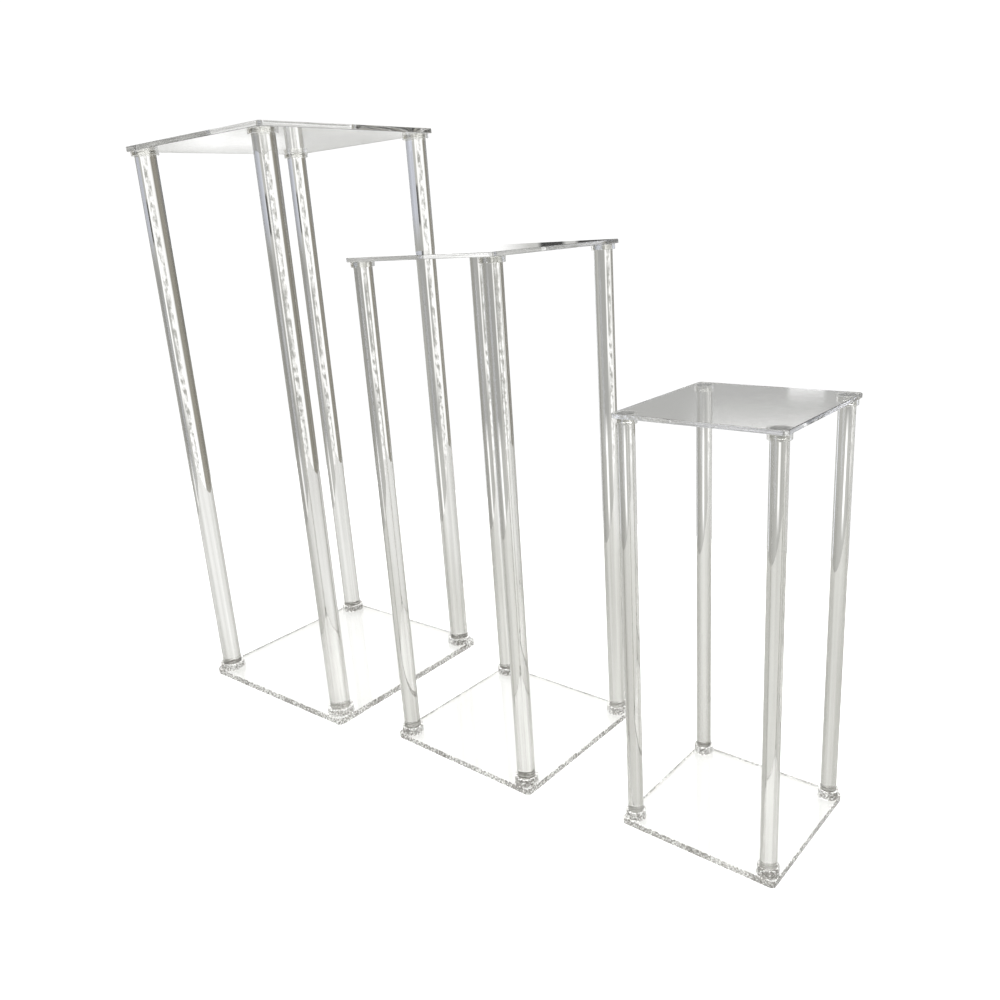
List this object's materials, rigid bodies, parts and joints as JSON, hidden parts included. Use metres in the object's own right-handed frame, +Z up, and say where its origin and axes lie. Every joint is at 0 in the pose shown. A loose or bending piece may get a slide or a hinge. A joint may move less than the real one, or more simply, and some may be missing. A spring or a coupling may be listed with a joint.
{
  "type": "acrylic display pedestal set",
  "caption": "Clear acrylic display pedestals in stepped heights, each a square top and base plate on solid round corner rods in collars, standing in a row.",
  "frame": {"origin": "middle of the row's footprint, on the floor", "axes": "+X along the row from the tall pedestal to the small one, +Y to the back, +Z up"},
  "size_m": [1.1656, 0.3872, 1],
  "materials": {
    "clear_acrylic_plate": "polished clear, flame-polished edges",
    "clear_acrylic_rod": "polished clear solid rod",
    "clear_acrylic_collar": "polished clear ring"
  },
  "bodies": {
    "tall_stand": {"tall_base_plate": "clear_acrylic_plate", "tall_base_collar_front_left": "clear_acrylic_collar", "tall_base_collar_front_right": "clear_acrylic_collar", "tall_base_collar_rear_left": "clear_acrylic_collar", "tall_base_collar_rear_right": "clear_acrylic_collar", "tall_rod_front_left": "clear_acrylic_rod", "tall_rod_front_right": "clear_acrylic_rod", "tall_rod_rear_left": "clear_acrylic_rod", "tall_rod_rear_right": "clear_acrylic_rod"},
    "tall_top": {"tall_top_plate": "clear_acrylic_plate", "tall_top_collar_front_left": "clear_acrylic_collar", "tall_top_collar_front_right": "clear_acrylic_collar", "tall_top_collar_rear_left": "clear_acrylic_collar", "tall_top_collar_rear_right": "clear_acrylic_collar"},
    "medium_stand": {"medium_base_plate": "clear_acrylic_plate", "medium_base_collar_front_left": "clear_acrylic_collar", "medium_base_collar_front_right": "clear_acrylic_collar", "medium_base_collar_rear_left": "clear_acrylic_collar", "medium_base_collar_rear_right": "clear_acrylic_collar", "medium_rod_front_left": "clear_acrylic_rod", "medium_rod_front_right": "clear_acrylic_rod", "medium_rod_rear_left": "clear_acrylic_rod", "medium_rod_rear_right": "clear_acrylic_rod"},
    "medium_top": {"medium_top_plate": "clear_acrylic_plate", "medium_top_collar_front_left": "clear_acrylic_collar", "medium_top_collar_front_right": "clear_acrylic_collar", "medium_top_collar_rear_left": "clear_acrylic_collar", "medium_top_collar_rear_right": "clear_acrylic_collar"},
    "small_stand": {"small_base_plate": "clear_acrylic_plate", "small_base_collar_front_left": "clear_acrylic_collar", "small_base_collar_front_right": "clear_acrylic_collar", "small_base_collar_rear_left": "clear_acrylic_collar", "small_base_collar_rear_right": "clear_acrylic_collar", "small_rod_front_left": "clear_acrylic_rod", "small_rod_front_right": "clear_acrylic_rod", "small_rod_rear_left": "clear_acrylic_rod", "small_rod_rear_right": "clear_acrylic_rod"},
    "small_top": {"small_top_plate": "clear_acrylic_plate", "small_top_collar_front_left": "clear_acrylic_collar", "small_top_collar_front_right": "clear_acrylic_collar", "small_top_collar_rear_left": "clear_acrylic_collar", "small_top_collar_rear_right": "clear_acrylic_collar"}
  },
  "joints": [
    {"name": "tall_top_lift", "type": "slide", "parent": "tall_stand", "child": "tall_top", "axis": [0, 0, 1], "range_m": [0, 0.1]},
    {"name": "medium_top_lift", "type": "slide", "parent": "medium_stand", "child": "medium_top", "axis": [0, 0, 1], "range_m": [0, 0.1]},
    {"name": "small_top_lift", "type": "slide", "parent": "small_stand", "child": "small_top", "axis": [0, 0, 1], "range_m": [0, 0.1]},
    {"name": "medium_stand_lift", "type": "slide", "parent": "tall_stand", "child": "medium_stand", "axis": [0, 0, 1], "range_m": [0, 0.25]},
    {"name": "small_stand_lift", "type": "slide", "parent": "tall_stand", "child": "small_stand", "axis": [0, 0, 1], "range_m": [0, 0.25]}
  ]
}
